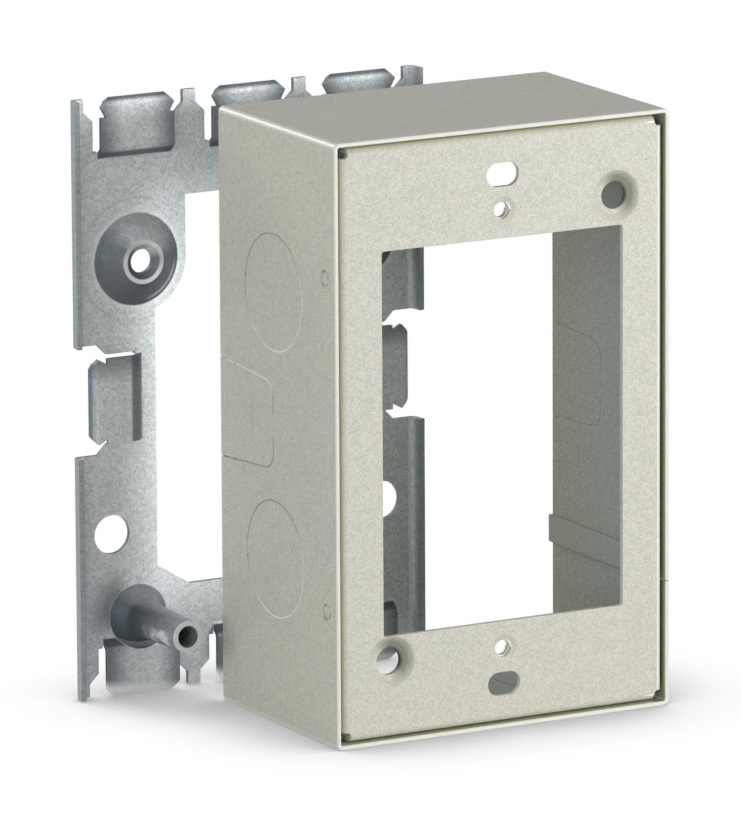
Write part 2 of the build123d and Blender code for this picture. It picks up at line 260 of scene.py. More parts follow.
class ZincSettings(bpy.types.PropertyGroup):
    bright: colour_setting("Bright zinc", "Colour of the brightest crystals", (0.83, 0.875, 0.89))
    dull: colour_setting("Dull zinc", "Colour of the darkest crystals", (0.49, 0.525, 0.545))
    # Painted shade and dark reflection on the cones and posts, and painted shade beside the posts, on the tongues,
    # on the flanges and in a ring round each boss
    drawn_shade: colour_setting(
        "Drawn steel", "Colour where the sheet was drawn and the crystals are crushed", (0.075, 0.095, 0.11)
    )
    # Painted highlight on the boss rims and feet, the post tips and the fold lines, and a painted reflection on
    # the lower lips
    burnished: colour_setting(
        "Burnished rims", "Colour of the rims and lips that the tool polished", (0.95, 0.98, 0.99)
    )
    # Bare steel of the cut edges and the post bores, darkened further with painted shade
    sheared: colour_setting("Sheared steel", "Colour of the cut edges of the sheet", (0.07, 0.08, 0.085))
    spangle_size: length_setting("Spangle size", "Width of one zinc crystal", 0.0006, 0.0001)
    roughness: FloatProperty(name="Roughness", description="Roughness of the zinc", min=0, max=1, default=0.56)
    edge_radius: length_setting("Edge radius", "Rounding of the sheared edges", 0.00015)


class ThreadSettings(bpy.types.PropertyGroup):
    pitch: length_setting("Pitch", "From one turn of the thread to the next", 0.000794, 0.0002)
    ridge: length_setting("Ridge", "How far the thread stands into its hole", 0.00025, 0.00005)
    post_turns: IntProperty(name="Turns in a post", description="Turns of thread in a post", min=1, default=8)
    face_turns: IntProperty(name="Turns in the face", description="Turns in a tapped collar", min=1, default=2)


class StageSettings(bpy.types.PropertyGroup):
    azimuth: angle_setting("Azimuth", "Turn of the camera round the object", -28.82)
    elevation: angle_setting("Elevation", "Height of the camera above the horizon", 12.31)
    roll: angle_setting("Roll", "Tilt of the camera", -0.32)
    distance: length_setting("Distance", "From the camera to the middle of the face", 1.792)
    shift_across: length_setting("Across", "Sideways place of the camera", -0.024853, -1.0)
    shift_up: length_setting("Up", "Upward place of the camera", 0.00333, -1.0)
    lens: FloatProperty(name="Lens", description="Focal length in millimetres", min=1, default=420.9)
    key_power: power_setting("Key light", "From the front, right", 6.1)
    fill_power: power_setting("Fill light", "From the left", 10.4)
    back_power: power_setting("Back light", "From behind, above", 3.2)
    sky_level: FloatProperty(name="Sky", description="Even light from all round", min=0, default=0.22)
    shadow_reach: length_setting("Shadow reach", "How far the contact shadow spreads on the floor", 0.031)


# Shader node helpers


def feed(tree, node, inputs):
    """Links a socket to each named or numbered input of a node, or sets its value."""
    for name, value in inputs.items():
        if isinstance(value, bpy.types.NodeSocket):
            tree.links.new(value, node.inputs[name])
        else:
            node.inputs[name].default_value = value


def add_node(tree, kind, place, **values):
    """A new node at a place in the editor, with its properties and its named or numbered inputs set."""
    node = tree.nodes.new(kind)
    node.location = place
    inputs = values.pop("inputs", {})
    for name, value in values.items():
        setattr(node, name, value)
    feed(tree, node, inputs)
    return node


def group_ends(tree):
    """The input and the output node of a new group."""
    return add_node(tree, "NodeGroupInput", (-900, 0)), add_node(tree, "NodeGroupOutput", (900, 0))


def empty_nodes(owner):
    """The node tree of a material or a world, without a node."""
    owner.use_nodes = True
    owner.node_tree.nodes.clear()
    return owner.node_tree


def new_object(name, data):
    """A new object of the scene that holds a mesh, a camera or a light."""
    thing = bpy.data.objects.new(name, data)
    bpy.context.scene.collection.objects.link(thing)
    return thing


def new_group(name, inputs, outputs):
    """An empty shader group with named sockets, and its input and output nodes."""
    tree = bpy.data.node_groups.new(name, "ShaderNodeTree")
    for label, value in inputs.items():
        kind = "NodeSocketVector" if isinstance(value, tuple) else "NodeSocketFloat"
        tree.interface.new_socket(label, in_out="INPUT", socket_type=kind).default_value = value
    for label, kind in outputs.items():
        tree.interface.new_socket(label, in_out="OUTPUT", socket_type=f"NodeSocket{kind}")
    return tree, *group_ends(tree)


def sum_of(tree, operation, first, second=0.0, third=0.0, place=(0, 0)):
    """The result of one sum on values or sockets."""
    return add_node(
        tree, "ShaderNodeMath", place, operation=operation, inputs={0: first, 1: second, 2: third}
    ).outputs[0]


def times(tree, *values):
    """The product of values or sockets."""
    result = values[0]
    for value in values[1:]:
        result = sum_of(tree, "MULTIPLY", result, value)
    return result


def ramp(tree, value, low, high, start=0.0, end=1.0):
    """A value taken from low..high to start..end, smoothly, and held there."""
    return add_node(
        tree,
        "ShaderNodeMapRange",
        (0, 0),
        interpolation_type="SMOOTHSTEP",
        inputs={"Value": value, "From Min": low, "From Max": high, "To Min": start, "To Max": end},
    ).outputs["Result"]


def between(tree, value, low, high, soft):
    """1 where a value lies from low to high, with soft ends."""
    rising = ramp(tree, value, low - soft, low + soft)
    falling = ramp(tree, value, high - soft, high + soft, 1.0, 0.0)
    return times(tree, rising, falling)


def mixed(tree, factor, first, second, blend="MIX"):
    """Two colours mixed by a factor."""
    first, second = ((*colour, 1.0) if isinstance(colour, tuple) else colour for colour in (first, second))
    node = add_node(tree, "ShaderNodeMix", (0, 0), data_type="RGBA", blend_type=blend)
    feed(tree, node, {0: factor, 6: first, 7: second})
    return node.outputs[2]


def vector_sum(tree, operation, first, second=(0, 0, 0), place=(0, 0)):
    """The node of one sum on vectors."""
    return add_node(tree, "ShaderNodeVectorMath", place, operation=operation, inputs={0: first, 1: second})


def moved(tree, vector, shift):
    """A vector socket less a fixed vector."""
    return vector_sum(tree, "SUBTRACT", vector, tuple(shift)).outputs[0]


def split(tree, vector):
    """The three parts of a vector socket."""
    return add_node(tree, "ShaderNodeSeparateXYZ", (0, 0), inputs={0: vector}).outputs


def joined(tree, x, y, z):
    """A vector socket from its three parts."""
    return add_node(tree, "ShaderNodeCombineXYZ", (0, 0), inputs={0: x, 1: y, 2: z}).outputs[0]


def towards(tree, direction, aim, low, high):
    """How far a direction socket points to an aim, from 0 at low to 1 at high."""
    turn = vector_sum(tree, "DOT_PRODUCT", direction, aim)
    return ramp(tree, turn.outputs["Value"], low, high)


def diagonal(tree, first, second):
    """How far a point lies from an axis, from its two places beside the axis."""
    squares = sum_of(tree, "ADD", times(tree, first, first), times(tree, second, second))
    return sum_of(tree, "SQRT", squares)


def noise(tree, vector, scale, **more):
    """The value of a noise texture on a vector."""
    return add_node(
        tree, "ShaderNodeTexNoise", (-450, 0), inputs={"Vector": vector, "Scale": scale, **more}
    ).outputs["Fac"]


def soft_edge_group():
    """Rounded edges: the normal turned over an edge, and a mask that is 1 on the edge itself."""
    tree, start, end = new_group("Soft edge", {"Radius": 0.0002}, {"Normal": "Vector", "Edge": "Float"})
    bevel = add_node(tree, "ShaderNodeBevel", (-600, 0), samples=8, inputs={"Radius": start.outputs["Radius"]})
    shape = add_node(tree, "ShaderNodeNewGeometry", (-600, -200))
    turn = vector_sum(tree, "DOT_PRODUCT", bevel.outputs["Normal"], shape.outputs["Normal"], (-300, -100))
    on_edge = ramp(tree, turn.outputs["Value"], 0.75, 0.98, 1.0, 0.0)
    feed(tree, end, {"Normal": bevel.outputs["Normal"], "Edge": on_edge})
    return tree


def grain_group():
    """Fine texture of a baked paint or of a metal skin, and a slow mottle under it."""
    tree, start, end = new_group(
        "Grain", {"Size": 0.0005, "Vector": (0, 0, 0)}, {"Specks": "Float", "Mottle": "Float", "Height": "Float"}
    )
    vector = start.outputs["Vector"]
    scale = sum_of(tree, "DIVIDE", 1.0, start.outputs["Size"])
    fine = noise(tree, vector, scale, Detail=3.0, Roughness=0.65)
    slow = noise(tree, vector, times(tree, scale, MOTTLE_SCALE), Detail=3.0)
    specks, mottle = ramp(tree, fine, 0.36, 0.64), ramp(tree, slow, 0.35, 0.65)
    feed(tree, end, {"Specks": specks, "Mottle": mottle, "Height": times(tree, fine, slow)})
    return tree


def round_form_group():
    """How far a point lies from an axis that runs front to back, and in which direction."""
    tree, start, end = new_group(
        "Round form", {"Vector": (0, 0, 0), "Centre": (0, 0, 0)}, {"Radius": "Float", "Direction": "Vector"}
    )
    away = vector_sum(tree, "SUBTRACT", start.outputs["Vector"], start.outputs["Centre"], (-600, 0))
    flat = vector_sum(tree, "MULTIPLY", away.outputs[0], (1, 0, 1), (-400, 0))
    size = vector_sum(tree, "LENGTH", flat.outputs[0], place=(-200, 100))
    turn = vector_sum(tree, "NORMALIZE", flat.outputs[0], place=(-200, -100))
    feed(tree, end, {"Radius": size.outputs["Value"], "Direction": turn.outputs["Vector"]})
    return tree


def sheared_line_group():
    """How far a point lies outside a twist-out's line, from its depth and its place across."""
    tree, start, end = new_group(
        "Sheared line", {"Depth": 0.0, "Across": 0.0, "Foot": 0.008}, {"Distance": "Float"}
    )
    depth = start.outputs["Depth"]
    behind = sum_of(tree, "ADD", depth, TWIST_REACH)
    lean = sum_of(tree, "MULTIPLY_ADD", behind, TWIST_SPREAD / TWIST_REACH, start.outputs["Foot"])
    beside = sum_of(tree, "SUBTRACT", sum_of(tree, "ABSOLUTE", start.outputs["Across"]), lean)
    beside = sum_of(tree, "ADD", beside, TWIST_CORNER)
    ahead = sum_of(tree, "SUBTRACT", TWIST_CORNER - TWIST_REACH, depth)
    outside = joined(tree, sum_of(tree, "MAXIMUM", beside, 0.0), sum_of(tree, "MAXIMUM", ahead, 0.0), 0.0)
    round_corner = vector_sum(tree, "LENGTH", outside)
    inner = sum_of(tree, "MINIMUM", sum_of(tree, "MAXIMUM", beside, ahead), 0.0)
    reach = sum_of(tree, "ADD", round_corner.outputs["Value"], inner)
    feed(tree, end, {"Distance": sum_of(tree, "SUBTRACT", reach, TWIST_CORNER)})
    return tree


GROUPS = {}


def placed_group(tree, builder, inputs, place=(0, 0)):
    """A node that uses a shader group. The group is built the first time that it is asked for."""
    name = builder.__name__
    if name not in GROUPS:
        GROUPS[name] = builder()
    return add_node(tree, "ShaderNodeGroup", place, node_tree=GROUPS[name], inputs=inputs)


def textured_material(name, edge_radius, grain_size, grain_height):
    """A material with its shader, whose normal follows the rounded edges and the grain."""
    material = bpy.data.materials.new(name)
    tree = empty_nodes(material)
    output = add_node(tree, "ShaderNodeOutputMaterial", (900, 0))
    shader = add_node(tree, "ShaderNodeBsdfPrincipled", (600, 0))
    feed(tree, output, {"Surface": shader.outputs["BSDF"]})
    where = add_node(tree, "ShaderNodeTexCoord", (-1200, 0))
    edge = placed_group(tree, soft_edge_group, {"Radius": edge_radius}, (-700, -300))
    grain = placed_group(tree, grain_group, {"Size": grain_size, "Vector": where.outputs["Object"]}, (-700, 0))
    bump = add_node(tree, "ShaderNodeBump", (200, -300), inputs={"Strength": 1.0, "Distance": grain_height})
    feed(tree, bump, {"Height": grain.outputs["Height"], "Normal": edge.outputs["Normal"]})
    feed(tree, shader, {"Normal": bump.outputs["Normal"]})
    return material, shader, where, edge, grain


def dress(node_name, material):
    """Gives a CAD node its finish."""
    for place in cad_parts[node_name].material_slots:
        place.material = material


# Baked paint of the cover


def baked_paint(name, settings, layers):
    """Textured paint under layers, each with the function of its mask, its colour and its blend."""
    material, shader, where, edge, grain = textured_material(
        name, settings.edge_radius, settings.grain_size, settings.grain_height
    )
    tree = material.node_tree
    specks = times(tree, grain.outputs["Specks"], SPECK_SHARE)
    amount = sum_of(tree, "ADD", specks, times(tree, grain.outputs["Mottle"], MOTTLE_SHARE))
    skin = mixed(tree, amount, tuple(settings.speck_colour), tuple(settings.colour))
    # Painted highlight along the rounded edges
    skin = mixed(tree, times(tree, edge.outputs["Edge"], EDGE_HIGHLIGHT_SHARE), skin, tuple(settings.rim_highlight_tint))
    place = split(tree, moved(tree, where.outputs["Object"], COVER_CENTRE))
    for mask, colour, blend in layers:
        skin = mixed(tree, mask(tree, place), skin, tuple(colour), blend)
    rough = settings.roughness
    shine = ramp(tree, grain.outputs["Specks"], 0.0, 1.0, rough + SPECK_ROUGHNESS, rough)
    smooth = sum_of(tree, "MULTIPLY_ADD", band_fold(tree, place), -FOLD_SMOOTHNESS, shine)
    feed(tree, shader, {"Base Color": skin, "Roughness": smooth})
    return material


def border_reach(tree, place):
    """How far a point lies outside the cover across, upwards and at all, less than 0 inside."""
    across = sum_of(tree, "SUBTRACT", sum_of(tree, "ABSOLUTE", place["X"]), COVER_HALF.x)
    rise = sum_of(tree, "SUBTRACT", sum_of(tree, "ABSOLUTE", place["Z"]), COVER_HALF.z)
    return across, rise, sum_of(tree, "MAXIMUM", across, rise)


def outer_face(tree, reach):
    """The outer faces of the walls."""
    return ramp(tree, reach, -FACE_START, -FACE_END)


def right_side(tree, place):
    """The right part of the cover, whose groove gets the most painted shade."""
    return ramp(tree, place["X"], *RIGHT_GROOVE)


def band_inside(tree, place):
    """The inner faces of the wall band."""
    return ramp(tree, border_reach(tree, place)[2], -BAND_SHEET * 0.7, -BAND_SHEET * 0.95)


def front_inside_shade(tree, place):
    """Painted cool shade on the inner faces towards the front."""
    return times(tree, band_inside(tree, place), ramp(tree, place["Y"], *INSIDE_FADE, 1.0, 0.0))


def back_inside_shade(tree, place):
    """Painted shade on the inner faces towards the back, warmer than at the front."""
    return times(tree, band_inside(tree, place), ramp(tree, place["Y"], *INSIDE_FADE, 0.0, 1.0))


def inside_specks(tree, place):
    """Dark specks of the thin paint inside the box."""
    specks = noise(tree, joined(tree, place["X"], place["Y"], place["Z"]), INSIDE_SPECKS, Detail=1.0)
    return times(tree, band_inside(tree, place), ramp(tree, specks, 0.42, 0.60, 0.0, INSIDE_SPECK_SHARE))


def band_groove_shade(tree, place):
    """The inner faces of the wall band just behind its front edge, which get painted shade."""
    start, end = BAND_GROOVE
    depth = ramp(tree, place["Y"], start - COVER_HALF.y, end - COVER_HALF.y)
    return times(tree, band_inside(tree, place), depth)


def band_right_groove_shade(tree, place):
    """Painted shade in the groove along the right wall."""
    return times(tree, band_groove_shade(tree, place), right_side(tree, place), RIGHT_GROOVE_SHADE)


def band_rim(tree, place):
    """The front edge of the wall band, which gets a painted highlight."""
    start, end = RIM
    return ramp(tree, place["Y"], start - COVER_HALF.y, end - COVER_HALF.y)


def band_fold(tree, place):
    """The folds between the walls, which get a painted highlight and smoother paint."""
    across, rise, _ = border_reach(tree, place)
    start, end = FOLD
    return times(tree, ramp(tree, across, -start, -end), ramp(tree, rise, -start, -end))


def band_weld_shade(tree, place):
    """The two spot welds on each side wall, each ringed with broken painted shade."""
    level = sum_of(tree, "SUBTRACT", sum_of(tree, "ABSOLUTE", place["Z"]), WELD_RISE)
    depth = sum_of(tree, "SUBTRACT", place["Y"], WELD_BACK - COVER_HALF.y)
    ring = between(tree, diagonal(tree, level, depth), *WELD_RING, 0.0003)
    patch = noise(tree, joined(tree, 0.0, level, depth), WELD_PATCHES)
    broken = ramp(tree, patch, 0.40, 0.55, 0.2, 0.75)
    return times(tree, ring, outer_face(tree, border_reach(tree, place)[0]), broken)


def line_at(tree, distance, middle=0.0):
    """A thin line where a distance is near its middle."""
    return between(tree, distance, middle - LINE_HALF, middle + LINE_HALF, LINE_SOFT)


def twist_line(tree, place, across, width):
    """The line of the nearest twist-out, from the place across its wall and its width."""
    depth = sum_of(tree, "SUBTRACT", place["Y"], COVER_HALF.y)
    foot = (width - TWIST_SPREAD) / 2
    line = placed_group(tree, sheared_line_group, {"Depth": depth, "Across": across, "Foot": foot})
    return line_at(tree, line.outputs["Distance"])


def raised_lines(tree, place, upper, lower):
    """The lines of the twist-outs and the knockouts, weighed apart above and below into painted highlight and
    painted shade.
    """
    across, rise, _ = border_reach(tree, place)
    above = ramp(tree, place["Z"], *SIDE_TWIST_TOP, lower, upper)
    tie = ramp(tree, sum_of(tree, "ABSOLUTE", place["Z"]), TWIST_TIE / 2 - 0.0003, TWIST_TIE / 2 + 0.0003)
    side = times(tree, twist_line(tree, place, place["Z"], SIDE_TWIST_WIDTH), above, tie, outer_face(tree, across))

    level = sum_of(tree, "SUBTRACT", sum_of(tree, "ABSOLUTE", place["Z"]), KNOCKOUT_PITCH / 2)
    depth = sum_of(tree, "SUBTRACT", place["Y"], COVER_HALF.y - KNOCKOUT_BACK)
    circle = line_at(tree, diagonal(tree, level, depth), KNOCKOUT_RADIUS)
    height = sum_of(tree, "SUBTRACT", sum_of(tree, "PINGPONG", place["Z"], KNOCKOUT_PITCH), KNOCKOUT_PITCH / 2)
    height = times(tree, height, sum_of(tree, "SIGN", place["Z"]))
    lean = sum_of(tree, "MULTIPLY_ADD", depth, KNOCKOUT_LEAN, height)
    left = ramp(tree, place["X"], FACE_START - COVER_HALF.x, FACE_END - COVER_HALF.x)
    circle = times(tree, circle, ramp(tree, lean, -KNOCKOUT_FADE, KNOCKOUT_FADE, upper, lower), left)

    column = sum_of(tree, "WRAP", place["X"], END_TWIST_PITCH / 2, -END_TWIST_PITCH / 2)
    line = twist_line(tree, place, column, END_TWIST_WIDTH)
    end_line = times(tree, line, outer_face(tree, rise), upper, END_LINE)
    return sum_of(tree, "MAXIMUM", end_line, sum_of(tree, "MAXIMUM", side, circle))


def light_lines(tree, place):
    """The parts of the sheared lines that catch the light."""
    return raised_lines(tree, place, LINE_LIGHT, 0.0)


def dark_lines(tree, place):
    """The parts of the sheared lines that lie in shade."""
    return raised_lines(tree, place, 0.0, LINE_DARK)


def pan_border_shade(tree, place):
    """The folds of the face, which turn back into the groove, without its holes, which get painted shade."""
    front = PAN_FRONT - COVER_CENTRE.y
    fold = ramp(tree, place["Y"], front + PAN_GROOVE[0], front + PAN_GROOVE[1])
    return times(tree, fold, ramp(tree, border_reach(tree, place)[2], -PAN_BORDER[0], -PAN_BORDER[1]))


def pan_right_groove_shade(tree, place):
    """Painted shade on the fold of the face along the right wall."""
    return times(tree, pan_border_shade(tree, place), right_side(tree, place), RIGHT_GROOVE_SHADE)


def pan_shine(tree, place):
    """The start of the fold on the right of the face, where a painted highlight goes."""
    depth = sum_of(tree, "SUBTRACT", place["Y"], PAN_FRONT)
    start = between(tree, depth, *PAN_SHINE, 0.00002)
    return times(tree, start, ramp(tree, place["X"], *PAN_SHINE_SIDE))


def dish_shade(tree, place):
    """The shaded half of the two dished seats of the face."""
    vector = joined(tree, place["X"], place["Y"], place["Z"])
    shades = []
    for side in (-1, 1):
        centre = tuple(side * value for value in SEAT_PLACE)
        seat = placed_group(tree, round_form_group, {"Vector": vector, "Centre": centre})
        near = ramp(tree, seat.outputs["Radius"], *SEAT_SHADE, 1.0, 0.0)
        shades.append(times(tree, near, towards(tree, seat.outputs["Direction"], SEAT_SHADE_AIM, -0.6, 0.7)))
    return sum_of(tree, "MAXIMUM", *shades)


# Zinc of the base plate


class PlatePlace:
    """Where a point of the base plate lies and how it faces, as sockets of a material."""

    def __init__(self, tree, where):
        self.vector = moved(tree, where.outputs["Object"], (BASE_CENTRE.x, SHEET_FRONT, BASE_CENTRE.z))
        parts = split(tree, self.vector)
        self.x, self.y, self.z = parts["X"], parts["Y"], parts["Z"]
        self.across = sum_of(tree, "ABSOLUTE", self.x)
        self.rise = sum_of(tree, "ABSOLUTE", self.z)
        self.ahead = sum_of(tree, "MULTIPLY", self.y, -1.0)
        self.raised = ramp(tree, self.ahead, *RAISED)
        self.normal = where.outputs["Normal"]
        facing = split(tree, self.normal)["Y"]
        self.front = ramp(tree, facing, *FACES_FRONT)
        self.sideways = ramp(tree, sum_of(tree, "ABSOLUTE", facing), *FACES_SIDE, 1.0, 0.0)
        boss_vector = joined(tree, self.across, self.y, self.z)
        boss = placed_group(tree, round_form_group, {"Vector": boss_vector, "Centre": BOSS_PLACE}, (-700, 900))
        self.boss_radius, self.boss_direction = boss.outputs["Radius"], boss.outputs["Direction"]
        # the posts stand low on the left and high on the right
        turned = add_node(
            tree,
            "ShaderNodeVectorMath",
            (-900, 1200),
            operation="SCALE",
            inputs={0: moved(tree, self.vector, POST_SHIFT), "Scale": sum_of(tree, "SIGN", self.x)},
        )
        post = placed_group(
            tree, round_form_group, {"Vector": turned.outputs[0], "Centre": POST_PLACE}, (-700, 1200)
        )
        self.post_radius, self.post_direction = post.outputs["Radius"], post.outputs["Direction"]


def laid(tree, skin, colour, *masks):
    """A colour laid over a skin, as far as the product of its masks goes."""
    return mixed(tree, times(tree, *masks), skin, tuple(colour))


def inside_radius(tree, radius, limit):
    """1 inside a round limit."""
    return ramp(tree, radius, limit - 0.0001, limit + 0.0001, 1.0, 0.0)


def boss_finish(tree, at, skin, settings):
    """Drawn bosses: cones in painted shade and dark reflection, lighter above, with a painted highlight on the rim
    and a painted highlight ring at the foot.
    """
    drawn_shade = times(tree, inside_radius(tree, at.boss_radius, BOSS_FOOT), at.raised)
    # Cones painted dark as shade and dark reflection, with a painted highlight above and in an arc below
    above = towards(tree, at.boss_direction, BOSS_TOP_AIM, 0.25, 1.0)
    below = towards(tree, at.boss_direction, BOSS_ARC_AIM, 0.72, 0.97)
    upper = times(tree, above, COVERS["boss top"], ramp(tree, at.boss_radius, BOSS_FOOT, BOSS_RIM, 0.5, 1.0))
    arc = times(tree, below, COVERS["boss arc"], between(tree, at.boss_radius, *BOSS_ARC, 0.0004))
    sheen = sum_of(tree, "MAXIMUM", sum_of(tree, "ADD", upper, 0.08), arc)
    cone = mixed(tree, sheen, tuple(settings.drawn_shade), skin)
    # Painted highlight ring at the foot
    halo = between(tree, at.boss_radius, BOSS_FOOT, BOSS_FOOT + BOSS_HALO, 0.0004)
    skin = laid(tree, skin, settings.burnished, halo, COVERS["boss halo"])
    # A faint ring of painted shade further out
    ring = between(tree, at.boss_radius, *BOSS_RING, 0.0003)
    skin = laid(tree, skin, settings.drawn_shade, ring, COVERS["boss ring"])
    skin = mixed(tree, drawn_shade, skin, cone)
    # Painted highlight on the rim, strongest towards its lower right
    rim = times(
        tree,
        between(tree, at.boss_radius, BOSS_MOUTH, BOSS_RIM, 0.00015),
        ramp(tree, at.ahead, BOSS_RISE - 0.0006, BOSS_RISE),
    )
    lit = towards(tree, at.boss_direction, BOSS_RIM_AIM, -1.0, 0.8)
    return laid(tree, skin, settings.burnished, rim, ramp(tree, lit, 0.0, 1.0, 0.35, 0.85))


def post_finish(tree, at, skin, settings, mottle):
    """Drawn posts: painted shade, lighter above and to their tip, with a painted highlight on the tip, and a
    painted shadow beside the foot.
    """
    # Painted shadow of the post on the plate beside its foot
    cast_shadow = times(
        tree,
        towards(tree, at.post_direction, POST_SHADOW_AIM, 0.55, 1.0),
        ramp(tree, at.post_radius, POST_FOOT + POST_SHADOW_REACH, POST_FOOT),
        ramp(tree, at.ahead, 0.0004, 0.0001),
    )
    skin = laid(tree, skin, settings.drawn_shade, cast_shadow, COVERS["post shadow"])
    # Posts painted dark as shade, with painted highlights above, towards the tip and in streaks
    upward = times(tree, towards(tree, at.normal, POST_TOP_AIM, 0.35, 0.95), COVERS["post top"])
    shaft = ramp(tree, at.ahead, 0.004, POST_LENGTH, 0.0, COVERS["post shaft"])
    streak = times(
        tree,
        towards(tree, at.normal, POST_STREAK_AIM, 0.80, 0.97),
        between(tree, at.ahead, *POST_STREAK, 0.003),
        ramp(tree, mottle, 0.2, 0.7, 0.35, 1.0),
    )
    bright = sum_of(tree, "MAXIMUM", sum_of(tree, "MAXIMUM", upward, shaft), streak)
    on_post = times(tree, inside_radius(tree, at.post_radius, POST_FOOT), at.raised)
    skin = mixed(tree, on_post, skin, mixed(tree, bright, tuple(settings.drawn_shade), skin))
    # Painted highlight on the tip and painted shade in the bore
    tip = times(
        tree,
        ramp(tree, at.post_radius, POST_BORE - 0.0002, POST_BORE),
        ramp(tree, at.ahead, POST_LENGTH - 0.0003, POST_LENGTH - 0.0001),
    )
    skin = laid(tree, skin, settings.burnished, on_post, tip, COVERS["post tip"])
    bore = inside_radius(tree, at.post_radius, POST_BORE)
    return laid(tree, skin, settings.sheared, on_post, bore, COVERS["post bore"])


def tongue_finish(tree, at, skin, settings):
    """Tongues: painted shade to their sides and at the joggle, and a painted reflection on the rolled lip."""
    in_row = times(
        tree,
        ramp(tree, at.rise, ROW_ROOT - 0.0004, ROW_ROOT),
        ramp(tree, at.across, ROW_END, ROW_END + 0.0005, 1.0, 0.0),
        ramp(tree, at.post_radius, POST_FOOT, POST_FOOT + 0.0004),
    )
    at_side = times(
        tree,
        ramp(tree, at.across, SIDE_ROOT - 0.0006, SIDE_ROOT - 0.0002),
        ramp(tree, at.rise, SIDE_HALF + 0.0008, SIDE_HALF + 0.0004),
        ramp(tree, at.across, SIDE_TIP + 0.0012, SIDE_TIP + 0.0008),
    )
    tongue = times(tree, sum_of(tree, "MAXIMUM", in_row, at_side), ramp(tree, at.ahead, 0.0001, 0.0003))
    spread = sum_of(tree, "WRAP", at.x, TONGUE_PITCH / 2, -TONGUE_PITCH / 2)
    beside = sum_of(tree, "ABSOLUTE", spread)
    row_turn = sum_of(tree, "DIVIDE", beside, TONGUE_HALF)
    side_turn = ramp(tree, at.z, 0.0005, SIDE_HALF, 0.15, 0.85)
    turn = sum_of(tree, "MAXIMUM", times(tree, in_row, row_turn), times(tree, at_side, side_turn))
    shade = ramp(tree, turn, 0.25, 1.05, 0.0, COVERS["tongue side"])
    # Painted shade towards the sides of each tongue
    skin = laid(tree, skin, settings.drawn_shade, tongue, shade)
    # Painted shade at the joggle, the side bend and the side lips
    joggle = times(tree, tongue, at.front, between(tree, at.ahead, *JOGGLE, 0.0002))
    bend = times(tree, tongue, at_side, at.front, ramp(tree, at.across, SIDE_BEND + 0.0003, SIDE_BEND - 0.0003))
    skin = laid(tree, skin, settings.drawn_shade, sum_of(tree, "MAXIMUM", joggle, bend), COVERS["joggle"])
    side_lip = ramp(tree, at.across, SIDE_TIP - LIP - 0.0002, SIDE_TIP - LIP)
    skin = laid(tree, skin, settings.drawn_shade, tongue, at_side, at.front, side_lip, COVERS["side lip"])
    # Painted reflection of the floor on the rolled lower lip
    height = sum_of(tree, "MULTIPLY_ADD", spread, 0.12, at.z)
    lip = times(
        tree,
        ramp(tree, beside, TONGUE_HALF + 0.0008, TONGUE_HALF + 0.0005),
        ramp(tree, height, LOWER_LIP[0] - ROW_TIP, LOWER_LIP[1] - ROW_TIP),
    )
    return laid(tree, skin, settings.burnished, in_row, at.front, lip)


def edge_finish(tree, at, skin, settings):
    """Side flanges in a blue-grey painted shade with a painted highlight line beside the fold, and the sheared
    edges of the sheet, bare steel darkened further with painted shade.
    """
    # Painted shade on the side flanges and a painted highlight line beside their fold
    flange = times(
        tree, ramp(tree, at.across, FLANGE_SIDE, FLANGE_SIDE + 0.0003), ramp(tree, at.ahead, -0.0004, 0.0001)
    )
    skin = laid(tree, skin, settings.drawn_shade, flange, COVERS["flange"])
    fold = between(tree, at.across, *FLANGE_FOLD, 0.0002)
    skin = laid(tree, skin, settings.burnished, fold, COVERS["flange fold"])
    # The cut edges' bare steel, darkened further with painted shade
    in_sheet = ramp(tree, at.ahead, 0.0002, -0.0001)
    return laid(tree, skin, settings.sheared, at.sideways, in_sheet, COVERS["sheared edge"])


def galvanised(name, settings):
    """Zinc skin of light and dull crystals, and the painted shade and painted highlights on each form of the base
    plate.
    """
    material, shader, where, edge, grain = textured_material(name, settings.edge_radius, ZINC_GRAIN, ZINC_HEIGHT)
    tree = material.node_tree
    crystal = add_node(
        tree,
        "ShaderNodeTexVoronoi",
        (-900, 300),
        feature="F1",
        inputs={"Vector": where.outputs["Object"], "Scale": 1.0 / settings.spangle_size, "Randomness": 1.0},
    )
    shade = split(tree, crystal.outputs["Color"])
    amount = sum_of(tree, "ADD", times(tree, shade["X"], 0.5), times(tree, grain.outputs["Specks"], 0.5))
    skin = mixed(tree, amount, tuple(settings.dull), tuple(settings.bright))
    at = PlatePlace(tree, where)
    skin = boss_finish(tree, at, skin, settings)
    skin = post_finish(tree, at, skin, settings, grain.outputs["Mottle"])
    skin = tongue_finish(tree, at, skin, settings)
    skin = edge_finish(tree, at, skin, settings)
    rough = settings.roughness
    shine = ramp(tree, shade["Y"], 0.0, 1.0, rough - ZINC_SPREAD, rough + ZINC_SPREAD)
    feed(tree, shader, {"Base Color": skin, "Roughness": shine, "Metallic": ZINC_METAL})
    return material


# Geometry node trees


def new_shape_tree(name, *numbers):
    """An empty geometry tree that takes a mesh, named numbers and a material, and gives a mesh."""
    tree = bpy.data.node_groups.new(name, "GeometryNodeTree")
    tree.interface.new_socket("Geometry", in_out="INPUT", socket_type="NodeSocketGeometry")
    tree.interface.new_socket("Geometry", in_out="OUTPUT", socket_type="NodeSocketGeometry")
    for label in numbers:
        tree.interface.new_socket(label, in_out="INPUT", socket_type="NodeSocketFloat")
    tree.interface.new_socket("Material", in_out="INPUT", socket_type="NodeSocketMaterial")
    return tree, *group_ends(tree)


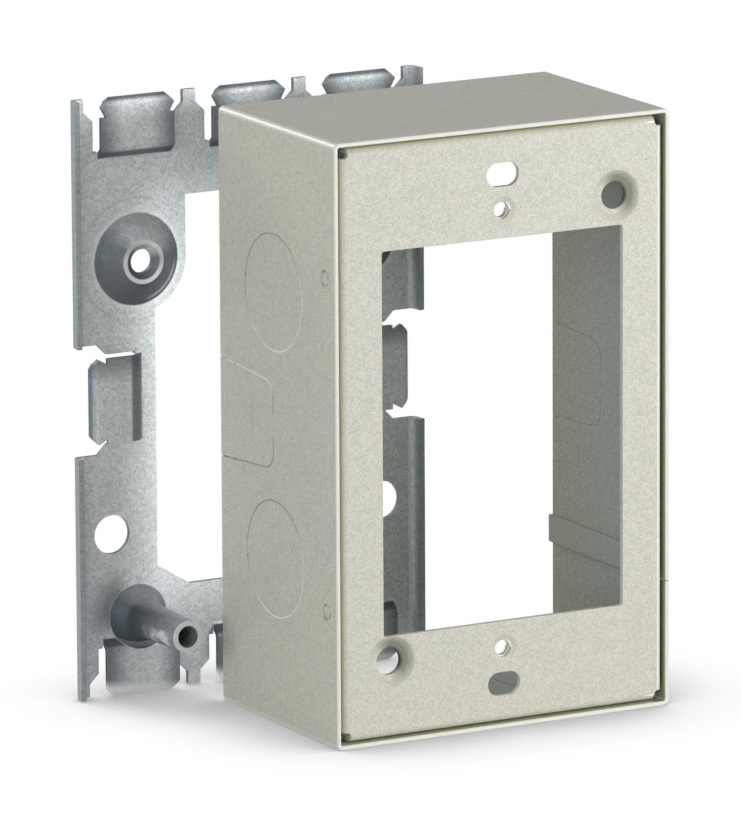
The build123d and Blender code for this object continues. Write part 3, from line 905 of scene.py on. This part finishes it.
def finish_tree(tree, start, end, shape):
    """Makes the result one real mesh, smooth and in its material."""
    smooth = add_node(tree, "GeometryNodeSetShadeSmooth", (300, 0), inputs={"Geometry": shape})
    real = add_node(tree, "GeometryNodeRealizeInstances", (500, 0), inputs={0: smooth.outputs[0]})
    paint = add_node(tree, "GeometryNodeSetMaterial", (700, 0))
    feed(tree, paint, {"Geometry": real.outputs[0], "Material": start.outputs["Material"]})
    feed(tree, end, {0: paint.outputs[0]})


def swept(tree, curve, sides, radius):
    """The closed mesh of a round section that runs along a curve."""
    section = add_node(
        tree, "GeometryNodeCurvePrimitiveCircle", (-400, -300), inputs={"Resolution": sides, "Radius": radius}
    )
    return add_node(
        tree,
        "GeometryNodeCurveToMesh",
        (-200, 0),
        inputs={"Curve": curve, "Profile Curve": section.outputs[0], "Fill Caps": True},
    ).outputs[0]


def bead_tree():
    """A round bead that follows each line of a mesh, with its corners rounded."""
    tree, start, end = new_shape_tree("Paint bead", "Corner radius", "Bead radius")
    path = add_node(tree, "GeometryNodeMeshToCurve", (-600, 0), inputs={"Mesh": start.outputs["Geometry"]})
    bend = add_node(
        tree,
        "GeometryNodeFilletCurve",
        (-400, 0),
        mode="POLY",
        inputs={"Curve": path.outputs[0], "Radius": start.outputs["Corner radius"], "Count": CORNER_STEPS},
    )
    bead = swept(tree, bend.outputs[0], BEAD_SIDES, start.outputs["Bead radius"])
    finish_tree(tree, start, end, bead)
    return tree


def thread_tree():
    """A screw thread at each point of a mesh, its turns running towards the front."""
    tree, start, end = new_shape_tree("Screw thread", "Turns", "Radius", "Length", "Ridge")
    spiral = add_node(tree, "GeometryNodeCurveSpiral", (-600, 0), inputs={"Resolution": THREAD_STEPS})
    feed(tree, spiral, {"Rotations": start.outputs["Turns"], "Height": start.outputs["Length"]})
    feed(tree, spiral, dict.fromkeys(("Start Radius", "End Radius"), start.outputs["Radius"]))
    ridge = swept(tree, spiral.outputs[0], THREAD_SIDES, start.outputs["Ridge"])
    points = add_node(tree, "GeometryNodeMeshToPoints", (-300, 300), inputs={"Mesh": start.outputs["Geometry"]})
    placed = add_node(tree, "GeometryNodeInstanceOnPoints", (0, 0), inputs={"Instance": ridge})
    feed(tree, placed, {"Points": points.outputs[0], "Rotation": (math.radians(90), 0, 0)})
    finish_tree(tree, start, end, placed.outputs[0])
    return tree


def grown_piece(name, points, lines, tree, inputs):
    """A mesh that a geometry tree grows from points and the lines between them."""
    mesh = bpy.data.meshes.new(name)
    mesh.from_pydata(points, lines, [])
    piece = new_object(name, mesh)
    grow = piece.modifiers.new("grow", "NODES")
    grow.node_group = tree
    for item in tree.interface.items_tree:
        if item.item_type == "SOCKET" and item.in_out == "INPUT" and item.name in inputs:
            grow[item.identifier] = inputs[item.name]
    graph = bpy.context.evaluated_depsgraph_get()
    solid = bpy.data.meshes.new_from_object(piece.evaluated_get(graph))
    piece.modifiers.clear()
    piece.data = solid
    solid.name = name
    if not solid.polygons:
        raise RuntimeError(f"{name} came out empty")
    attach(piece, "root")
    return piece


# Sheared lines of the cover


def twist_lines(width):
    """The two halves of one twist-out's line, as depth from the back edge and place across."""
    foot = (width - TWIST_SPREAD) / 2
    slope = TWIST_SPREAD / TWIST_REACH
    start, rear, fore = (
        (depth, foot + (TWIST_REACH + depth) * slope)
        for depth in (-SIDE_SET_BACK, -TWIST_PIT + PIT_HALF, -TWIST_PIT - PIT_HALF)
    )
    halves = [[start, rear], [fore, (-TWIST_REACH, foot), (-TWIST_REACH, TWIST_TIE / 2)]]
    return halves + [[(depth, -place) for depth, place in half] for half in halves]


def knockout_line(rise):
    """The line of one round knockout, open at its tie, as depth from the back edge and height."""
    gap = math.asin((KNOCKOUT_TIE / 2 + PIT_HALF) / KNOCKOUT_RADIUS)
    turn = [gap + (2 * math.pi - 2 * gap) * step / KNOCKOUT_STEPS for step in range(KNOCKOUT_STEPS + 1)]
    return [
        (KNOCKOUT_RADIUS * math.cos(angle) - KNOCKOUT_BACK, rise + KNOCKOUT_RADIUS * math.sin(angle))
        for angle in turn
    ]


def sheared_lines():
    """All sheared lines of the cover, in the middle of its sheet, as lists of points."""
    lines = []
    side_x = COVER_HALF.x - BAND_SHEET / 2
    end_z = COVER_HALF.z - BAND_SHEET / 2
    back = BAND_HIGH.y
    for half in twist_lines(SIDE_TWIST_WIDTH):
        for side in (-side_x, side_x):
            lines.append([(side, back + depth, COVER_CENTRE.z + place) for depth, place in half])
    for end in (COVER_CENTRE.z - end_z, COVER_CENTRE.z + end_z):
        for column in (-END_TWIST_PITCH, 0, END_TWIST_PITCH):
            for half in twist_lines(END_TWIST_WIDTH):
                lines.append([(column + place, back + depth, end) for depth, place in half])
    for rise in (-KNOCKOUT_PITCH / 2, KNOCKOUT_PITCH / 2):
        lines.append([(-side_x, back + depth, COVER_CENTRE.z + place) for depth, place in knockout_line(rise)])
    return lines


# Stage


def add_camera(settings):
    """The photograph's viewing angle, as azimuth, elevation and roll round the middle of the face."""
    azimuth, elevation = settings.azimuth, settings.elevation
    level = math.cos(elevation)
    back = Vector((math.sin(azimuth) * level, -math.cos(azimuth) * level, math.sin(elevation)))
    level_right = (-back).cross(Vector((0, 0, 1))).normalized()
    level_up = level_right.cross(-back)
    right = level_right * math.cos(settings.roll) + level_up * math.sin(settings.roll)
    up = level_up * math.cos(settings.roll) - level_right * math.sin(settings.roll)
    aim = Vector((COVER_CENTRE.x, BAND_LOW.y, AIM_RISE))
    lens = bpy.data.cameras.new("camera")
    lens.lens = settings.lens
    lens.clip_start, lens.clip_end = CLIP
    camera = new_object("camera", lens)
    camera.matrix_world = Matrix.Translation(
        aim + back * settings.distance + right * settings.shift_across + up * settings.shift_up
    ) @ Matrix((right, up, back)).transposed().to_4x4()
    bpy.context.scene.camera = camera


def add_light(name, direction, distance, size, power):
    """A square soft light that shines on the cover from a direction."""
    lamp = bpy.data.lights.new(name, "AREA")
    lamp.shape = "SQUARE"
    lamp.size = size
    lamp.energy = power
    light = new_object(name, lamp)
    away = Vector(direction).normalized()
    light.location = COVER_CENTRE + away * distance
    light.rotation_euler = (-away).to_track_quat("-Z", "Y").to_euler()
    light.visible_camera = False


def background_rays(tree, place):
    """1 where the camera, a reflection or a glass sees the surface, 0 where it only sends light."""
    path = add_node(tree, "ShaderNodeLightPath", place)
    seen = sum_of(tree, "MAXIMUM", path.outputs["Is Camera Ray"], path.outputs["Is Glossy Ray"])
    return sum_of(tree, "MAXIMUM", seen, path.outputs["Is Transmission Ray"])


def add_world(strength):
    """A white background that lights the object only softly."""
    world = bpy.data.worlds.new("studio")
    bpy.context.scene.world = world
    tree = empty_nodes(world)
    level = ramp(tree, background_rays(tree, (-800, 0)), 0.0, 1.0, strength, 1.0)
    sky = add_node(tree, "ShaderNodeBackground", (100, 0), inputs={"Color": (1, 1, 1, 1), "Strength": level})
    output = add_node(tree, "ShaderNodeOutputWorld", (300, 0))
    feed(tree, output, {"Surface": sky.outputs["Background"]})


def add_floor(settings):
    """A white floor on which only the contact shadow of the object shows."""
    corners = [(x * FLOOR_REACH, y * FLOOR_REACH, 0) for x, y in ((-1, -1), (1, -1), (1, 1), (-1, 1))]
    mesh = bpy.data.meshes.new("floor")
    mesh.from_pydata(corners, [], [(0, 1, 2, 3)])
    floor = new_object("floor", mesh)
    material = bpy.data.materials.new("floor")
    tree = empty_nodes(material)
    output = add_node(tree, "ShaderNodeOutputMaterial", (900, 0))
    shade = add_node(
        tree, "ShaderNodeAmbientOcclusion", (-600, 200), samples=16, inputs={"Distance": settings.shadow_reach}
    )
    level = ramp(tree, shade.outputs["AO"], *FLOOR_OPEN, FLOOR_SHADOW, 1.0)
    glow = add_node(tree, "ShaderNodeEmission", (0, 200), inputs={"Color": (1, 1, 1, 1), "Strength": level})
    matt = add_node(tree, "ShaderNodeBsdfDiffuse", (0, 0), inputs={"Color": FLOOR_GREY})
    pick = add_node(
        tree,
        "ShaderNodeMixShader",
        (500, 100),
        inputs={0: background_rays(tree, (-300, 500)), 1: matt.outputs["BSDF"], 2: glow.outputs["Emission"]},
    )
    feed(tree, output, {"Surface": pick.outputs["Shader"]})
    mesh.materials.append(material)


# Operators


class EXTENDER_OT_stage(bpy.types.Operator):
    """Set up the camera, the soft lights and the white floor"""

    bl_idname = "extender.stage"
    bl_label = "Set the stage"

    def execute(self, context):
        settings = context.scene.extender_stage
        add_camera(settings)
        powers = (settings.key_power, settings.fill_power, settings.back_power)
        for light, power in zip(LIGHTS, powers):
            add_light(*light, power)
        add_world(settings.sky_level)
        add_floor(settings)
        context.scene.view_settings.view_transform = "Standard"
        return {"FINISHED"}


class EXTENDER_OT_cover_paint(bpy.types.Operator):
    """Paint the wall band and the face of the cover box, and fill their sheared lines"""

    bl_idname = "extender.cover_paint"
    bl_label = "Paint the cover box"

    def execute(self, context):
        settings = context.scene.extender_paint
        band = baked_paint(
            "wall_paint",
            settings,
            [
                # Layers of painted shade and painted highlight on the band, and the dark specks inside it
                (front_inside_shade, settings.front_inside_shade_tint, "MULTIPLY"),
                (back_inside_shade, settings.back_inside_shade_tint, "MULTIPLY"),
                (inside_specks, settings.shade_and_speck_colour, "MIX"),
                (light_lines, settings.glint_colour, "MIX"),
                (dark_lines, settings.shade_and_speck_colour, "MIX"),
                (band_groove_shade, settings.groove_shade_tint, "MIX"),
                (band_right_groove_shade, settings.shade_and_speck_colour, "MIX"),
                (band_weld_shade, settings.shade_and_speck_colour, "MIX"),
                (band_fold, settings.rim_highlight_tint, "MIX"),
                (band_rim, settings.rim_highlight_tint, "MIX"),
            ],
        )
        dress("wall_band", band)
        face = baked_paint(
            "face_paint",
            settings,
            [
                # Painted shade in the dishes and the groove, and a painted highlight on the right fold
                (dish_shade, settings.shade_and_speck_colour, "MIX"),
                (pan_border_shade, settings.groove_shade_tint, "MIX"),
                (pan_right_groove_shade, settings.shade_and_speck_colour, "MIX"),
                (pan_shine, settings.glint_colour, "MIX"),
            ],
        )
        dress("face_pan", face)
        points = []
        edges = []
        for line in sheared_lines():
            first = len(points)
            points += line
            edges += [(step, step + 1) for step in range(first, len(points) - 1)]
        grown_piece(
            "sheared_line_paint",
            points,
            edges,
            bead_tree(),
            {"Corner radius": TWIST_CORNER, "Bead radius": settings.bead_radius, "Material": band},
        )
        return {"FINISHED"}


class EXTENDER_OT_base_zinc(bpy.types.Operator):
    """Give the base plate its galvanised skin"""

    bl_idname = "extender.base_zinc"
    bl_label = "Galvanise the base plate"

    def execute(self, context):
        dress("base_plate", galvanised("galvanised_steel", context.scene.extender_zinc))
        return {"FINISHED"}


class EXTENDER_OT_threads(bpy.types.Operator):
    """Cut the threads of the device holes and of the posts"""

    bl_idname = "extender.threads"
    bl_label = "Cut the threads"

    def execute(self, context):
        settings = context.scene.extender_thread
        tree = thread_tree()
        face = PAN_FRONT + DEVICE_COLLAR
        tip = SHEET_FRONT - POST_LENGTH + POST_THREAD_START + settings.post_turns * settings.pitch
        device_holes = [(0, face, COVER_CENTRE.z - DEVICE_DROP + rise * DEVICE_PITCH / 2) for rise in (-1, 1)]
        x, z = BASE_CENTRE.x + POST_SHIFT[0], BASE_CENTRE.z + POST_SHIFT[2]
        posts = [(x + side * POST_PLACE[0], tip, z + side * POST_PLACE[2]) for side in (-1, 1)]
        for name, places, turns, radius, finish, slot in (
            ("device_hole_threads", device_holes, settings.face_turns, DEVICE_HOLE, "face_paint", "face_paint"),
            ("post_threads", posts, settings.post_turns, POST_BORE, "galvanised_steel", "zinc"),
        ):
            inputs = {
                "Turns": float(turns),
                "Radius": radius,
                "Length": turns * settings.pitch,
                "Ridge": settings.ridge,
                "Material": bpy.data.materials[finish],
            }
            grown_piece(name, places, [], tree, inputs)
        return {"FINISHED"}


STEPS = (EXTENDER_OT_cover_paint, EXTENDER_OT_base_zinc, EXTENDER_OT_threads, EXTENDER_OT_stage)


class EXTENDER_PT_sidebar(bpy.types.Panel):
    """The pieces of the box extender and their settings"""

    bl_idname = "EXTENDER_PT_sidebar"
    bl_label = "Box Extender"
    bl_space_type = "VIEW_3D"
    bl_region_type = "UI"
    bl_category = "Box Extender"

    def draw(self, context):
        for name, title, group in SETTINGS:
            box = self.layout.box()
            box.label(text=title)
            for setting in group.__annotations__:
                box.prop(getattr(context.scene, name), setting)
        for step in STEPS:
            self.layout.operator(step.bl_idname)


SETTINGS = (
    ("extender_paint", "Paint", PaintSettings),
    ("extender_zinc", "Zinc", ZincSettings),
    ("extender_thread", "Threads", ThreadSettings),
    ("extender_stage", "Stage", StageSettings),
)


def register():
    for name, _, group in SETTINGS:
        bpy.utils.register_class(group)
        setattr(bpy.types.Scene, name, PointerProperty(type=group))
    for step in STEPS:
        bpy.utils.register_class(step)
    bpy.utils.register_class(EXTENDER_PT_sidebar)


def unregister():
    bpy.utils.unregister_class(EXTENDER_PT_sidebar)
    for step in reversed(STEPS):
        bpy.utils.unregister_class(step)
    for name, _, group in reversed(SETTINGS):
        delattr(bpy.types.Scene, name)
        bpy.utils.unregister_class(group)


def main():
    register()
    bpy.ops.extender.cover_paint()
    bpy.ops.extender.base_zinc()
    bpy.ops.extender.threads()
    bpy.ops.extender.stage()


if __name__ == "__main__":
    main()
